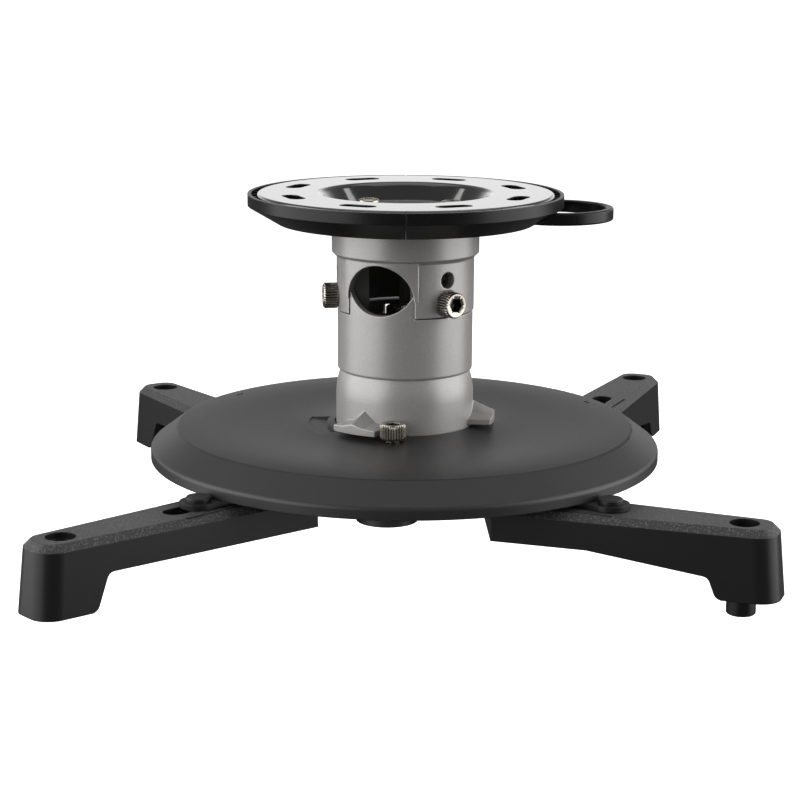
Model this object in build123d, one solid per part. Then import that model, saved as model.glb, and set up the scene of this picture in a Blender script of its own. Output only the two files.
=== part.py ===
from build123d import *
import os
from math import cos, radians, sin, sqrt

# A ceiling mount for a projector. Millimetres, +Z up. The origin is the centre of the
# face that meets the ceiling, the axis of the column is Z, and -Y faces the viewer.

# Fits and running gaps
fit_gap = 0.05          # a screw in its thread, a pin in its hole
slide_gap = 0.2         # flat faces that slide on each other
ball_gap = 0.3          # the spherical faces of the tilt joint
screw_hole_gap = 0.35   # a screw in a clearance hole
cut_past = 1.0          # how far a cutter passes the face it cuts

# Ceiling plate, pressed from sheet steel
plate_radius = 57.6
plate_gauge = 2.0
plate_edge_round = 1.2
dish_radius = 33.0
dish_floor_radius = 28.0
dish_depth = 7.0
dish_bend = 1.0
cable_hole_radius = 8.5
plate_slot_count = 8
plate_slot_circle = 46.0
plate_slot_length = 14.5
plate_slot_width = 6.5

# Two-part trim ring, moulded
trim_radius = 61.1
trim_drop = 0.3
trim_wall_height = 4.4
trim_cone_height = 6.6
trim_floor_radius = 50.0
trim_wall = 1.8
trim_rim = 1.4
trim_seam = 0.3
trim_shelf_width = 3.6
trim_collar_gap = 0.7
crush_rib_count = 48
crush_rib_width = 1.0
crush_rib_drop = 0.8
cable_loop_radius = 22.0
cable_loop_reach = 80.4
cable_loop_band = 3.0
cable_loop_height = 4.8
cable_loop_drop = 5.2

# Yoke, the upper casting, with a skirt that reaches down over the neck
yoke_cap = 4.0
collar_radius = 28.7
collar_height = 13.8
collar_step_height = 1.8
tongue_radius = 26.8
tongue_wall = 3.9
tongue_length = 20.4
tongue_azimuths = (-53.0, 67.0, 187.0)
window_azimuth = -113.0
window_radius = 13.7
window_drop = 14.1
window_frame_radius = 27.5
window_frame_half_angle = 33.4

# Neck, the lower casting
neck_radius = 26.4
neck_bore_radius = 20.0
neck_height = 23.5
neck_shoulder_gap = 0.6
neck_floor_drop = 4.4
neck_edge_round = 1.0
scoop_radius = 14.5
scoop_rise = 15.5
ear_inner_radius = 17.5
ear_half_width = 9.0
ear_rise = 18.6
cable_exit_azimuth = 85.0
cable_exit_inner = 13.0
cable_exit_half_width = 10.0
cable_exit_drop = 1.7
cable_exit_height = 5.0

# Screws that join the castings
neck_screw_radius = 3.0
neck_screw_head_radius = 5.0
neck_screw_head = 6.0
neck_screw_socket = 5.0
neck_screw_tip = 14.0
neck_screw_rise = 5.0
neck_screw_step = 9.0
spot_face_radius = 26.2
plate_screw_radius = 2.5
plate_screw_head_radius = 4.5
plate_screw_head = 3.0
plate_screw_circle = 19.0
plate_screw_azimuths = (140.0, 20.0, -100.0)
head_chamfer = 0.5
cross_width = 1.2
cross_share = 1.2       # length of the cross recess against the head's radius

# Swivel bolt, which pans in the neck and carries the ball hub
bolt_radius = 4.0
bolt_flats = 13.0
bolt_head = 5.3
nut_height = 4.5
bolt_end = 0.5
friction_washer_radius = 10.0
friction_washer = 1.0
saddle_flat_rise = 13.0

# Ball hub, the silver dome under the neck
ball_radius = 27.0
ball_wall = 4.0
ball_drop = 9.7
ball_flat_rise = 24.4
seat_roof_rise = 26.8
hub_height = 24.5
hub_bore_radius = 22.0
tilt_limit = 15.0
tilt_slot_play = 0.8
wing_azimuths = (-124.6, -4.6, 115.4)
wing_radius = 35.5
wing_half_width = 9.6
wing_plate = 2.2
wing_flank_share = 0.25  # how far a flank climbs by the middle of its side
wing_crest_hub = 8.6
wing_crest_edge = 3.8
wing_lift = 1.0
spigot_radius = 24.0
lug_radius = 29.0
lug_half_angle = 15.0
lug_key_play_angle = 1.0
lug_height = 2.5

# Lock screw that holds the bayonet shut
lock_screw_azimuth = -98.0
lock_screw_circle = 33.0
lock_screw_reach = 2.0

# Spider plate, cut from sheet steel
spider_gauge = 2.0
spider_disc_radius = 46.0
finger_width = 14.0
pivot_circle = 105.5
arm_pivot_angles = {"fl": -135.0, "fr": -45.0, "bl": 135.0, "br": 45.0}

# Round cover, moulded
cover_radius = 100.0
cover_top_radius = 89.6
cover_wall_height = 4.2
cover_cone_height = 7.7
cover_crown = 0.9
cover_wall = 2.2
cover_hole_gap = 0.6
cover_edge_round = 2.0
cover_dip_radius = 41.0
cover_dip = 0.35
cover_boss_radius = 4.0
cover_screw_radius = 1.6
cover_screw_head_radius = 3.2
cover_screw_head = 2.0
cover_screw_circle = 40.0
cover_screw_bite = 8.0
cover_slit_azimuths = (25.0, 146.0)
cover_slit_circle = 83.0
cover_slit_length = 4.5
cover_slit_width = 1.2
mark_azimuth = 190.0
mark_half_angle = 24.0
mark_inner_radius = 30.5
mark_outer_radius = 38.0
mark_depth = 0.6
lip_azimuth = -94.0
lip_radius = 11.0
lip_drop = 2.6

# Arms, moulded channels that slide and swing under the fingers
arm_end_wall = 5.6
arm_end_skew = 6.3
arm_width_tip = 20.5
arm_width_inner = 29.0
arm_nose = 12.5
arm_corner = 8.0
arm_chamfer = 2.5
arm_top_wall = 2.6
arm_side_wall = 2.4
arm_wall_height = 12.7
arm_flare = 1.0
arm_nose_flare = 2.2
foot_height = 26.0
foot_inner_top = 12.2
foot_inner_bottom = 6.8
foot_inner_round = 3.0
foot_heel_round = 3.5
foot_boss_radius = 6.9
arm_rib_width = 3.0
arm_rib_gap = 3.6
arm_gusset_reach = 54.0
arm_gusset_drop = 5.4
arm_slot_lead = 5.4
arm_slot_spare = 6.4
arm_slot_width = 8.4
arm_groove_offset = 9.6
arm_groove_lead = 2.4
arm_groove_width = 0.9
arm_groove_depth = 0.7
arm_reach = {"fl": 58.5, "fr": 49.0, "bl": 62.0, "br": 84.0}
arm_heading_angles = {"fl": -138.3, "fr": -21.0, "bl": 124.0, "br": 66.5}

# Pivot screws and the guide nuts that ride in the arms
pivot_screw_radius = 2.5
pivot_screw_head_radius = 4.7
pivot_screw_head = 1.8
guide_nut_length = 9.2
guide_nut_width = 12.0
guide_nut_height = 4.0
guide_key_length = 9.0

# Foot posts that the projector is screwed to
post_radius = 5.35
post_gap = 0.1
post_length = 24.0
post_screw_radius = 2.2
post_counterbore_radius = 4.0
post_floor = 6.0
post_drop = {"fl": 0.0, "fr": 7.5, "bl": 0.0, "br": 0.0}

# Lengths of the arms, from the nearest and the farthest reach of their feet
arm_slot_start = min(arm_reach.values()) - arm_slot_lead
arm_slot_end = max(arm_reach.values()) + arm_slot_spare
arm_groove_start = arm_slot_start + arm_groove_lead
arm_rib_end = arm_slot_start - arm_rib_gap
arm_length = arm_slot_end + arm_end_wall

# Heights that follow from the sizes above
dish_floor = -dish_depth
yoke_top = dish_floor - plate_gauge
collar_bottom = yoke_top - collar_height
tube_top = collar_bottom - collar_step_height
tongue_bottom = tube_top - tongue_length
window_z = tube_top - window_drop
neck_shoulder = tongue_bottom - neck_shoulder_gap
neck_bottom = neck_shoulder - neck_height
neck_floor = neck_shoulder - neck_floor_drop
scoop_z = neck_shoulder + scoop_rise
ball_z = neck_bottom - ball_drop
spider_top = ball_z - hub_height
spider_bottom = spider_top - spider_gauge
cover_bottom = spider_top + slide_gap / 2
cover_edge = cover_bottom + cover_wall_height
cover_top = cover_edge + cover_cone_height
arm_top = spider_bottom - slide_gap
foot_bottom = arm_top - foot_height
cover_hole_radius = ball_radius + cover_hole_gap
tongue_bore_radius = tongue_radius - tongue_wall
neck_screw_low = tongue_bottom + neck_screw_rise
neck_screw_heights = [neck_screw_low, neck_screw_low + neck_screw_step]


def turn(azimuth):
    """A turn about the column's axis."""
    return Rot(0, 0, azimuth)


def tube(outer, inner, low, high):
    """An upright ring between two heights."""
    return Pos(0, 0, low) * extrude(Circle(outer) - Circle(inner), high - low)


def rod(radius, low, high):
    """An upright cylinder between two heights."""
    return Pos(0, 0, low) * extrude(Circle(radius), high - low)


def block(x_low, x_high, y_half, low, high):
    """An upright block, centred on the X axis."""
    sketch = Pos((x_low + x_high) / 2, 0) * Rectangle(x_high - x_low, 2 * y_half)
    return Pos(0, 0, low) * extrude(sketch, high - low)


def turned(*points):
    """A solid turned about Z from an outline of radius and height."""
    return revolve(Plane.XZ * make_face(Polyline(*points, close=True)), Axis.Z)


def nearest(sketch, *points):
    """The vertices of a flat outline that lie nearest to the points."""
    return [min(sketch.vertices(), key=lambda v: (v.X - x) ** 2 + (v.Y - y) ** 2) for x, y in points]


def side_prism(points, half_width):
    """An outline of X and Z carried both ways along Y."""
    return extrude(Plane.XZ * make_face(Polyline(*points, close=True)), half_width, both=True)


def radial_drill(azimuth, radius, height, inner, outer):
    """A round cutter that points away from the axis."""
    return turn(azimuth) * Pos(inner, 0, height) * Rot(0, 90, 0) * extrude(Circle(radius), outer - inner)


def cap_screw(radius, reach, head_radius, head, socket):
    """A socket-head screw along Z, with the seat of its head at 0."""
    top = chamfer(extrude(Circle(head_radius), head).edges().group_by(Axis.Z)[-1], head_chamfer)
    hexagon = RegularPolygon(socket / 2, 6, major_radius=False)
    return top - Pos(0, 0, head) * extrude(hexagon, -head / 2) + extrude(Circle(radius), -reach)


def pan_screw(radius, reach, head_radius, head):
    """A cross-head screw along Z, with the seat of its head at 0."""
    dome = fillet(extrude(Circle(head_radius), head).edges().group_by(Axis.Z)[-1], head / 2)
    cross_length = head_radius * cross_share
    cross = Rectangle(cross_length, cross_width) + Rectangle(cross_width, cross_length)
    return dome - Pos(0, 0, head) * extrude(cross, -head / 2) + extrude(Circle(radius), -reach)


def ceiling_plate():
    """The dished steel plate, with eight slots along its slot circle."""
    run = dish_radius - dish_floor_radius
    slant = sqrt(run ** 2 + dish_depth ** 2)
    under = plate_gauge * (slant - run) / dish_depth
    lip_under = dish_radius + under
    floor_under = dish_floor_radius + under
    section = make_face(Polyline(
        (plate_radius, 0), (dish_radius, 0), (dish_floor_radius, dish_floor),
        (cable_hole_radius, dish_floor), (cable_hole_radius, yoke_top), (floor_under, yoke_top),
        (lip_under, -plate_gauge), (plate_radius, -plate_gauge), close=True))
    section = fillet(nearest(section, (dish_radius, 0), (floor_under, yoke_top)), dish_bend + plate_gauge)
    section = fillet(nearest(section, (dish_floor_radius, dish_floor), (lip_under, -plate_gauge)), dish_bend)
    section = fillet(nearest(section, (plate_radius, 0)), plate_edge_round)
    plate = revolve(Plane.XZ * section, Axis.Z)
    slot = Pos(plate_slot_circle, 0, -plate_gauge - cut_past) * extrude(
        SlotOverall(plate_slot_length, plate_slot_width, rotation=90), plate_gauge + 2 * cut_past)
    for step in range(plate_slot_count):
        plate -= turn((step + 0.5) * 360 / plate_slot_count) * slot
    hole = Pos(plate_screw_circle, 0, 0) * rod(
        plate_screw_radius + screw_hole_gap, yoke_top - cut_past, dish_floor + cut_past)
    for azimuth in plate_screw_azimuths:
        plate -= turn(azimuth) * hole
    return plate


def trim_ring():
    """The whole trim ring with its cable loop, before the seam is cut."""
    top = -trim_drop
    edge = top - trim_wall_height
    bottom = edge - trim_cone_height
    cone_run = trim_radius - trim_floor_radius
    slant = sqrt(cone_run ** 2 + trim_cone_height ** 2)
    wall_rise = trim_wall * slant / cone_run
    inner_rim = trim_radius - trim_rim
    slope = trim_cone_height / cone_run
    inner_edge = edge - trim_rim * slope + wall_rise
    inner_floor = bottom + trim_wall
    inner_floor_radius = inner_rim - (inner_edge - inner_floor) / slope
    outside = turned((0, top), (trim_radius, top), (trim_radius, edge),
                     (trim_floor_radius, bottom), (0, bottom))
    loop = Pos(cable_loop_reach - cable_loop_radius, 0) * tube(
        cable_loop_radius, cable_loop_radius - cable_loop_band,
        -cable_loop_drop - cable_loop_height, -cable_loop_drop)
    hollow = turned((0, cut_past), (inner_rim, cut_past), (inner_rim, inner_edge),
                    (inner_floor_radius, inner_floor), (0, inner_floor))
    ring = outside + fillet(loop.edges(), cable_loop_band / 4) - hollow
    ring -= rod(collar_radius + trim_collar_gap, bottom - cut_past, 0)
    shelf_top = -plate_gauge - slide_gap
    ring += tube(inner_rim + trim_rim / 2, inner_rim - trim_shelf_width, shelf_top - trim_wall, shelf_top)
    rib = block(plate_radius + fit_gap, inner_rim + trim_rim / 2, crush_rib_width / 2,
                shelf_top - trim_wall / 2, -plate_edge_round - crush_rib_drop / 2)
    for step in range(crush_rib_count):
        ring += turn((step + 0.5) * 360 / crush_rib_count) * rib
    return ring


def trim_half(ring, side):
    """One half of the trim ring, cut at the seam on the plane X = 0."""
    low, high = sorted((side * trim_seam / 2, side * 2 * trim_radius))
    return ring & block(low, high, 2 * trim_radius, -2 * trim_radius, trim_radius)


def yoke():
    """The upper casting: cap, collar, and a skirt with an arched window in a raised frame."""
    body = turned(
        (cable_hole_radius, yoke_top), (collar_radius, yoke_top), (collar_radius, collar_bottom),
        (tongue_radius, tube_top), (tongue_radius, tongue_bottom), (tongue_bore_radius, tongue_bottom),
        (tongue_bore_radius, yoke_top - yoke_cap), (cable_hole_radius, yoke_top - yoke_cap))
    beyond = 2 * collar_radius
    frame = tube(window_frame_radius, tongue_bore_radius, window_z, collar_bottom)
    frame_side = sector(2 * collar_radius, window_frame_half_angle, window_z, collar_bottom)
    body += frame & turn(window_azimuth) * frame_side
    body -= radial_drill(window_azimuth, window_radius, window_z, 0, beyond)
    body -= turn(window_azimuth) * block(0, beyond, window_radius, tongue_bottom - cut_past, window_z)
    for azimuth in tongue_azimuths:
        for height in neck_screw_heights:
            body -= radial_drill(azimuth, neck_screw_radius + slide_gap, height, 0, beyond)
        spot = neck_screw_head_radius + screw_hole_gap
        body -= radial_drill(azimuth, spot, neck_screw_heights[0], spot_face_radius, beyond)
    thread = Pos(plate_screw_circle, 0, 0) * rod(
        plate_screw_radius + fit_gap, yoke_top - yoke_cap - cut_past, 0)
    for azimuth in plate_screw_azimuths:
        body -= turn(azimuth) * thread
    return body


def neck():
    """The lower casting: a crown below the window, ears for the screws, a cable exit and the ball's seat."""
    body = rod(neck_radius, neck_bottom, neck_shoulder)
    body = fillet(body.edges().group_by(Axis.Z)[0], neck_edge_round)
    beyond = 2 * neck_radius
    crown_ring = tube(neck_radius, tongue_bore_radius, neck_shoulder, scoop_z)
    ear_ring = tube(tongue_bore_radius - slide_gap, ear_inner_radius, neck_floor, neck_shoulder + ear_rise)
    crown_half = window_radius - slide_gap
    window = radial_drill(window_azimuth, crown_half, window_z, 0, beyond)
    window += turn(window_azimuth) * block(0, beyond, crown_half, neck_shoulder, window_z)
    body += crown_ring & window - radial_drill(window_azimuth, scoop_radius, scoop_z, 0, beyond)
    body -= rod(neck_bore_radius, neck_floor, scoop_z)
    for azimuth in tongue_azimuths:
        body += ear_ring & turn(azimuth) * block(0, beyond, ear_half_width, neck_floor, 0)
    for azimuth in tongue_azimuths:
        for height in neck_screw_heights:
            body -= radial_drill(azimuth, neck_screw_radius + fit_gap, height, 0, tongue_bore_radius)
    exit_top = neck_shoulder - cable_exit_drop
    body -= turn(cable_exit_azimuth) * block(
        cable_exit_inner, beyond, cable_exit_half_width, exit_top - cable_exit_height, exit_top)
    seat_limit = rod(beyond, neck_bottom - cut_past, ball_z + seat_roof_rise)
    body -= Pos(0, 0, ball_z) * Sphere(ball_radius + ball_gap) & seat_limit
    return body - rod(bolt_radius + ball_gap, ball_z, neck_floor + cut_past)


def plate_screws():
    """Three screws through the dish floor into the yoke."""
    reach = plate_gauge + yoke_cap
    screw = Pos(plate_screw_circle, 0, dish_floor) * pan_screw(
        plate_screw_radius, reach, plate_screw_head_radius, plate_screw_head)
    return Compound([turn(azimuth) * screw for azimuth in plate_screw_azimuths])


def neck_screws():
    """Three cap screws through the tongues into the neck's ears."""
    screw = Pos(spot_face_radius, 0, neck_screw_heights[0]) * Rot(0, 90, 0) * cap_screw(
        neck_screw_radius, spot_face_radius - neck_screw_tip, neck_screw_head_radius,
        neck_screw_head, neck_screw_socket)
    return Compound([turn(azimuth) * screw for azimuth in tongue_azimuths])


def hexagon_prism(flats, low, high):
    """An upright hexagon across its flats."""
    return Pos(0, 0, low) * extrude(RegularPolygon(flats / 2, 6, major_radius=False), high - low)


saddle_flat = ball_z + saddle_flat_rise
washer_low = neck_floor + slide_gap / 2
nut_low = washer_low + friction_washer
bolt_top = nut_low + nut_height + bolt_end


def swivel_bolt():
    """The bolt that the head pans on, with its hexagon below the saddle."""
    bolt = rod(bolt_radius, saddle_flat - bolt_head, bolt_top)
    bolt = chamfer(bolt.edges().group_by(Axis.Z)[-1], head_chamfer)
    return bolt + hexagon_prism(bolt_flats, saddle_flat - bolt_head, saddle_flat)


def swivel_nut():
    """The nut on the friction washer inside the neck."""
    corner = bolt_flats / 2 / cos(radians(30)) - head_chamfer
    nut = hexagon_prism(bolt_flats, nut_low, nut_low + nut_height)
    rise = 2 * head_chamfer
    nut &= turned((0, nut_low), (corner + rise, nut_low), (corner + rise, nut_low + nut_height - rise),
                  (corner, nut_low + nut_height), (0, nut_low + nut_height))
    return nut - rod(bolt_radius + fit_gap, nut_low - cut_past, bolt_top)


def friction_plate():
    """The washer between the neck's floor and the nut."""
    return tube(friction_washer_radius, bolt_radius + fit_gap, washer_low, nut_low)


def saddle_washer():
    """The spherical washer inside the dome that the bolt pulls up."""
    ball = Pos(0, 0, ball_z) * Sphere(ball_radius - ball_wall - ball_gap)
    cap = ball & rod(ball_radius, saddle_flat, neck_floor)
    return cap - rod(bolt_radius + fit_gap, saddle_flat - cut_past, neck_floor)


def wing(azimuth):
    """A bayonet wing: a tent whose crest climbs from its rim to the dome."""
    low = cover_top + cover_crown + wing_lift
    tents = []
    for reach, crest in ((ball_radius - ball_wall / 2, wing_crest_hub), (wing_radius, wing_crest_edge)):
        edge = low + wing_plate
        flank = edge + (crest - wing_plate) * wing_flank_share
        outline = Polyline(
            (-wing_half_width, low), (wing_half_width, low), (wing_half_width, edge),
            (wing_half_width / 2, flank), (0, low + crest), (-wing_half_width / 2, flank),
            (-wing_half_width, edge), close=True)
        tents.append(Plane((reach, 0, 0), x_dir=(0, 1, 0), z_dir=(1, 0, 0)) * make_face(outline))
    reach_limit = rod(wing_radius, low - cut_past, low + 2 * wing_crest_hub)
    return turn(azimuth) * (loft(tents, ruled=True) & reach_limit)


def sector(outer, half_angle, low, high):
    """A wedge about the X axis, from the column's axis outwards."""
    wide = outer / cos(radians(half_angle))
    side = (wide * cos(radians(half_angle)), wide * sin(radians(half_angle)))
    sketch = make_face(Polyline((0, 0), side, (side[0], -side[1]), close=True))
    return Pos(0, 0, low) * extrude(sketch, high - low)


def ball_hub():
    """The dome that tilts in the neck, with its wings, spigot and bayonet lugs."""
    ball_top = ball_z + ball_flat_rise
    body = Pos(0, 0, ball_z) * Sphere(ball_radius) & rod(ball_radius + cut_past, ball_z, ball_top)
    body += rod(ball_radius, spider_top, ball_z)
    for azimuth in wing_azimuths:
        body += wing(azimuth)
    lug_top = spider_bottom - slide_gap
    lug_bottom = lug_top - lug_height
    body += rod(spigot_radius, lug_bottom, spider_top)
    lug_ring = tube(lug_radius, hub_bore_radius, lug_bottom, lug_top)
    for azimuth in wing_azimuths:
        body += lug_ring & turn(azimuth) * sector(2 * lug_radius, lug_half_angle, lug_bottom, lug_top)
    body -= Pos(0, 0, ball_z) * Sphere(ball_radius - ball_wall)
    body -= rod(hub_bore_radius, lug_bottom - cut_past, ball_z)
    tilt = radians(tilt_limit)
    swing = ball_radius * sin(tilt) + bolt_radius / cos(tilt) + tilt_slot_play
    slot = SlotOverall(2 * swing, 2 * (bolt_radius + ball_gap), rotation=90)
    return body - Pos(0, 0, ball_z) * extrude(slot, ball_radius + cut_past)


def lock_place(radius, low, high):
    """An upright cylinder on the lock screw's axis."""
    return turn(lock_screw_azimuth) * Pos(lock_screw_circle, 0, 0) * rod(radius, low, high)


lock_seat = cover_top + cover_crown + slide_gap


def lock_screw():
    """The upright cap screw that stops the bayonet from turning back."""
    reach = lock_seat - spider_bottom + lock_screw_reach
    screw = cap_screw(neck_screw_radius, reach, neck_screw_head_radius, neck_screw_head, neck_screw_socket)
    return turn(lock_screw_azimuth) * Pos(lock_screw_circle, 0, lock_seat) * screw


def cover_screw_places(shape):
    """Copies of a shape on the cover screws' circle."""
    return [turn(quarter * 90) * Pos(cover_screw_circle, 0, 0) * shape for quarter in range(4)]


def pivot_place(corner):
    """The axis of one arm's pivot."""
    return turn(arm_pivot_angles[corner]) * Pos(pivot_circle, 0, 0)


def spider_plate():
    """The steel cross: a disc with one finger for each arm, and the bayonet's keyed hole."""
    outline = Circle(spider_disc_radius)
    for azimuth in arm_pivot_angles.values():
        finger = SlotOverall(pivot_circle + finger_width, finger_width)
        outline += turn(azimuth) * Pos(pivot_circle / 2, 0) * finger
    plate = Pos(0, 0, spider_bottom) * extrude(outline, spider_gauge)
    low = spider_bottom - cut_past
    high = spider_top + cut_past
    plate -= rod(spigot_radius + slide_gap, low, high)
    key_ring = tube(lug_radius + screw_hole_gap, hub_bore_radius, low, high)
    for azimuth in wing_azimuths:
        key = turn(azimuth + 180 / len(wing_azimuths)) * sector(
            2 * lug_radius, lug_half_angle + lug_key_play_angle, low, high)
        plate -= key_ring & key
    plate -= lock_place(neck_screw_radius + fit_gap, low, high)
    for hole in cover_screw_places(rod(cover_screw_radius + screw_hole_gap, low, high)):
        plate -= hole
    for corner in arm_pivot_angles:
        plate -= pivot_place(corner) * rod(pivot_screw_radius + fit_gap, low, high)
    return plate


def dome_cover():
    """The round cover, with its screw bosses, slits, marks and finger lip."""
    hole = cover_hole_radius
    crown = cover_top + cover_crown
    under_top = cover_top - cover_wall
    under_edge = cover_edge - cover_wall / 2
    inner = cover_radius - cover_wall
    inner_top = cover_top_radius - cover_wall / 2
    top = Spline((hole, crown), (cover_dip_radius, cover_top - cover_dip),
                 ((cover_dip_radius + cover_top_radius) / 2, cover_top + cover_crown / 3),
                 (cover_top_radius, cover_top))
    rim = Polyline((cover_top_radius, cover_top), (cover_radius, cover_edge), (cover_radius, cover_bottom),
                   (inner, cover_bottom), (inner, under_edge), (inner_top, under_top),
                   (hole, under_top), (hole, crown))
    section = make_face(top + rim)
    corners = nearest(section, (cover_top_radius, cover_top), (cover_radius, cover_edge))
    section = fillet(corners, cover_edge_round)
    cover = revolve(Plane.XZ * section, Axis.Z)
    boss = rod(cover_boss_radius, spider_top, cover_top - cover_wall / 2)
    boss -= rod(cover_screw_radius + fit_gap, spider_top, spider_top + cover_screw_bite)
    for post in cover_screw_places(boss):
        cover += post
    over = crown + cut_past
    cover -= lock_place(neck_screw_radius + screw_hole_gap, spider_top, over)
    slit = Pos(cover_slit_circle, 0, under_top - cut_past) * extrude(
        SlotOverall(cover_slit_length, cover_slit_width, rotation=90), over - under_top + cut_past)
    for azimuth in cover_slit_azimuths:
        cover -= turn(azimuth) * slit
    mark = tube(mark_outer_radius, mark_inner_radius, cover_top - mark_depth, over)
    cover -= mark & turn(mark_azimuth) * sector(
        2 * mark_outer_radius, mark_half_angle, cover_top - cut_past, over)
    lip = rod(lip_radius, cover_bottom - lip_drop, cover_bottom + cover_wall)
    return cover + turn(lip_azimuth) * Pos(cover_radius - lip_radius, 0, 0) * lip


def cover_screws():
    """Four screws from below, through the spider into the cover's bosses."""
    screw = Pos(0, 0, spider_bottom) * Rot(180, 0, 0) * pan_screw(
        cover_screw_radius, spider_gauge + cover_screw_bite - cut_past,
        cover_screw_head_radius, cover_screw_head)
    return Compound(cover_screw_places(screw))


def pivot_screws():
    """The low-headed screws that the arms swing on."""
    reach = spider_gauge + slide_gap + arm_top_wall + slide_gap + guide_nut_height
    head = chamfer(extrude(Circle(pivot_screw_head_radius), pivot_screw_head).edges().group_by(Axis.Z)[-1],
                   head_chamfer)
    screw = Pos(0, 0, spider_top) * (head + extrude(Circle(pivot_screw_radius), -reach))
    return Compound([pivot_place(corner) * screw for corner in arm_pivot_angles])


def arm_half_width(x):
    """Half the arm's width at a place along it, with the foot's hole at 0."""
    tip = arm_width_tip / 2
    return tip - (arm_width_inner / 2 - tip) * x / arm_length


def arm_outline(height, inset, flare, nose_flare, end_inset):
    """The arm's plan at one height, skewed at its inner end and rounded at the nose."""
    nose = arm_nose - inset + nose_flare
    inner = arm_half_width(-arm_length) - inset + flare
    outer = arm_half_width(arm_nose) - inset + flare
    end = -arm_length + end_inset
    plan = make_face(Polyline((end + arm_end_skew, -inner), (nose, -outer), (nose, outer),
                              (end - arm_end_skew, inner), close=True))
    plan = fillet(nearest(plan, (nose, -outer), (nose, outer)), arm_corner - inset)
    return Pos(0, 0, height) * plan


def under_arm(*line):
    """A cutter along Y for all that lies below the arm, whose underside runs along the line to the foot."""
    far = arm_length + arm_end_skew + cut_past
    sunk = foot_bottom - cut_past
    outline = make_face(Polyline((-far, line[0][1]), *line, (-foot_inner_bottom, foot_bottom),
                                 (far, foot_bottom), (far, sunk), (-far, sunk), close=True))
    outline = fillet(nearest(outline, line[-1]), foot_inner_round)
    outline = fillet(nearest(outline, (-foot_inner_bottom, foot_bottom)), foot_heel_round)
    return extrude(Plane.XZ * outline, arm_width_inner, both=True)


def arm():
    """An arm in its own place, with the foot's hole at the origin and the nose towards +X."""
    shoulder = arm_top - arm_chamfer
    wall_bottom = arm_top - arm_wall_height
    body = loft([arm_outline(arm_top, arm_chamfer, 0, 0, 0), arm_outline(shoulder, 0, 0, 0, 0)], ruled=True)
    body += loft([arm_outline(shoulder, 0, 0, 0, 0),
                  arm_outline(foot_bottom, 0, arm_flare, arm_nose_flare, 0)], ruled=True)
    far = arm_length + arm_end_skew + cut_past
    sunk = foot_bottom - cut_past
    over = arm_top + cut_past
    under_top = arm_top - arm_top_wall
    foot_line = foot_inner_top - foot_inner_bottom
    share = (wall_bottom - arm_gusset_drop - foot_bottom) / (wall_bottom - foot_bottom)
    gusset_end = (-foot_inner_bottom - foot_line * share, wall_bottom - arm_gusset_drop)
    body -= under_arm((-arm_gusset_reach, wall_bottom), gusset_end)
    beside = make_face(Polyline(
        (-far, arm_side_wall - arm_half_width(-far)), (far, arm_side_wall - arm_half_width(far)),
        (far, arm_width_inner), (-far, arm_width_inner), close=True))
    body -= under_arm((-foot_inner_top, wall_bottom)) & Pos(0, 0, sunk) * extrude(beside, foot_height)
    hollow = arm_outline(sunk, arm_side_wall, 0, 0, arm_side_wall)
    body -= extrude(hollow, under_top - sunk)
    body += rod(foot_boss_radius, foot_bottom, under_top)
    body += side_prism([(0, under_top), (-arm_rib_end, under_top), (-arm_rib_end, wall_bottom),
                        (0, wall_bottom)], arm_rib_width / 2)
    slot_length = arm_slot_end - arm_slot_start
    slot = Pos(-(arm_slot_start + arm_slot_end) / 2, 0) * SlotOverall(slot_length, arm_slot_width)
    body -= Pos(0, 0, under_top - cut_past) * extrude(slot, over - under_top + cut_past)
    for side in (-1, 1):
        groove = block(-far, -arm_groove_start, arm_groove_width / 2, arm_top - arm_groove_depth, over)
        body -= Pos(0, side * arm_groove_offset, 0) * groove
    return body - rod(post_radius + post_gap, sunk, over)


def arm_place(corner):
    """The place of an arm's foot hole, and its turn."""
    swing = Rot(0, 0, arm_heading_angles[corner] - arm_pivot_angles[corner])
    return pivot_place(corner) * swing * Pos(arm_reach[corner], 0, 0)


def guide_nut():
    """A plate nut in its own place, with a key that runs in the arm's slot."""
    top = arm_top - arm_top_wall - slide_gap
    bottom = top - guide_nut_height
    nut = block(-guide_nut_length / 2, guide_nut_length / 2, guide_nut_width / 2, bottom, top)
    key = SlotOverall(guide_key_length, arm_slot_width - 2 * slide_gap)
    nut += Pos(0, 0, top) * extrude(key, arm_top - top)
    return nut - rod(pivot_screw_radius + fit_gap, bottom - cut_past, arm_top + cut_past)


def foot_post(drop):
    """A sleeve in its own place that slides in the foot and takes the projector's screw."""
    low = foot_bottom - drop
    post = chamfer(rod(post_radius, low, low + post_length).edges().group_by(Axis.Z)[0], head_chamfer)
    post -= rod(post_screw_radius, low - cut_past, low + post_length)
    return post - rod(post_counterbore_radius, low + post_floor, low + post_length + cut_past)


trim = trim_ring()
nodes = {
    "ceiling_plate": ceiling_plate(),
    "trim_half_left": trim_half(trim, -1),
    "trim_half_right": trim_half(trim, 1),
    "plate_screws": plate_screws(),
    "yoke": yoke(),
    "neck": neck(),
    "neck_screws": neck_screws(),
    "swivel_bolt": swivel_bolt(),
    "swivel_nut": swivel_nut(),
    "friction_washer": friction_plate(),
    "saddle_washer": saddle_washer(),
    "ball_hub": ball_hub(),
    "lock_screw": lock_screw(),
    "spider_plate": spider_plate(),
    "dome_cover": dome_cover(),
    "cover_screws": cover_screws(),
    "pivot_screws": pivot_screws(),
}
bare_arm = arm()
bare_nut = guide_nut()
for corner in arm_pivot_angles:
    nodes["arm_" + corner] = arm_place(corner) * bare_arm
    nodes["guide_nut_" + corner] = arm_place(corner) * Pos(-arm_reach[corner], 0, 0) * bare_nut
    nodes["foot_post_" + corner] = arm_place(corner) * foot_post(post_drop[corner])

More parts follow.
